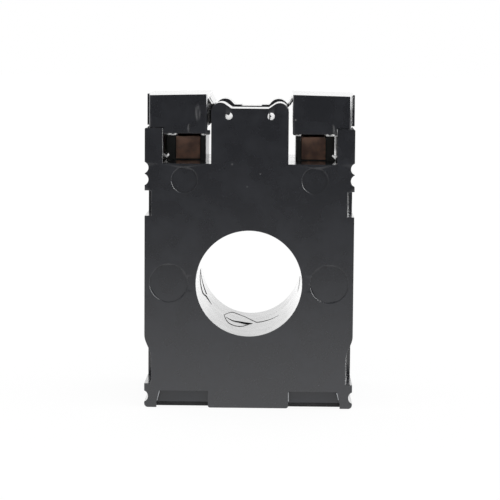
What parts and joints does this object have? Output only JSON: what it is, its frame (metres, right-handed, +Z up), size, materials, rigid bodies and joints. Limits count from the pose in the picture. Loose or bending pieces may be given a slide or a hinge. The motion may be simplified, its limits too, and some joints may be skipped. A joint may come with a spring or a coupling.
{
  "type": "window current transformer",
  "caption": "Moulded black current transformer with a round cable window, screw terminals under lift-off covers and a tongue with holes for sealing wire.",
  "frame": {"origin": "middle of the footprint, on the surface that the feet stand on", "axes": "+X to the right seen from the rear face, +Y through the window from the rear face to the terminal side, +Z up"},
  "size_m": [0.0446, 0.037, 0.0662],
  "materials": {
    "case_plastic": "semi-gloss moulded, black",
    "cover_plastic": "semi-gloss moulded, black",
    "base_plastic": "matt moulded, near black",
    "copper": "dull tarnished copper",
    "tray_plastic": "matt, off-white",
    "core_steel": "strip-wound electrical steel",
    "winding_copper": "enamelled copper wire",
    "band_tape": "polyester tape",
    "foam": "foam sheet",
    "lead_insulation": "wire insulation",
    "zinc_steel": "zinc plated"
  },
  "bodies": {
    "root": {"rear_shell": "case_plastic", "front_shell": "case_plastic", "core": "core_steel", "core_tray_rear": "tray_plastic", "core_tray_front": "tray_plastic", "secondary_winding": "winding_copper", "winding_band": "band_tape", "foam_ring_rear": "foam", "foam_ring_front": "foam", "lead_left": "lead_insulation", "lead_right": "lead_insulation", "terminal_base_left": "base_plastic", "terminal_base_right": "base_plastic", "terminal_strap_left": "copper", "terminal_strap_right": "copper", "terminal_nut_left": "zinc_steel", "terminal_nut_right": "zinc_steel"},
    "cover_left": {"terminal_cover_left": "cover_plastic"},
    "clamp_left": {"clamp_plate_left": "zinc_steel", "lock_washer_left": "zinc_steel"},
    "screw_left": {"terminal_screw_left": "zinc_steel"},
    "cover_right": {"terminal_cover_right": "cover_plastic"},
    "clamp_right": {"clamp_plate_right": "zinc_steel", "lock_washer_right": "zinc_steel"},
    "screw_right": {"terminal_screw_right": "zinc_steel"}
  },
  "joints": [
    {"name": "cover_left_lift", "type": "slide", "parent": "root", "child": "cover_left", "axis": [0, 0, 1], "range_m": [0, 0.016]},
    {"name": "clamp_left_rise", "type": "slide", "parent": "root", "child": "clamp_left", "axis": [0, 0, 1], "range_m": [0, 0.0028]},
    {"name": "screw_left_turn", "type": "hinge", "parent": "clamp_left", "child": "screw_left", "pos_m": [-0.01355, 0.0055, 0.0589], "axis": [0, 0, 1], "range_deg": [0, 1440]},
    {"name": "cover_right_lift", "type": "slide", "parent": "root", "child": "cover_right", "axis": [0, 0, 1], "range_m": [0, 0.016]},
    {"name": "clamp_right_rise", "type": "slide", "parent": "root", "child": "clamp_right", "axis": [0, 0, 1], "range_m": [0, 0.0028]},
    {"name": "screw_right_turn", "type": "hinge", "parent": "clamp_right", "child": "screw_right", "pos_m": [0.01355, 0.0055, 0.0589], "axis": [0, 0, 1], "range_deg": [0, 1440]}
  ],
  "couplings": [
    {"joint": "screw_left_turn", "follows": "clamp_left_rise", "rad_per_m": 8976},
    {"joint": "screw_right_turn", "follows": "clamp_right_rise", "rad_per_m": 8976}
  ]
}
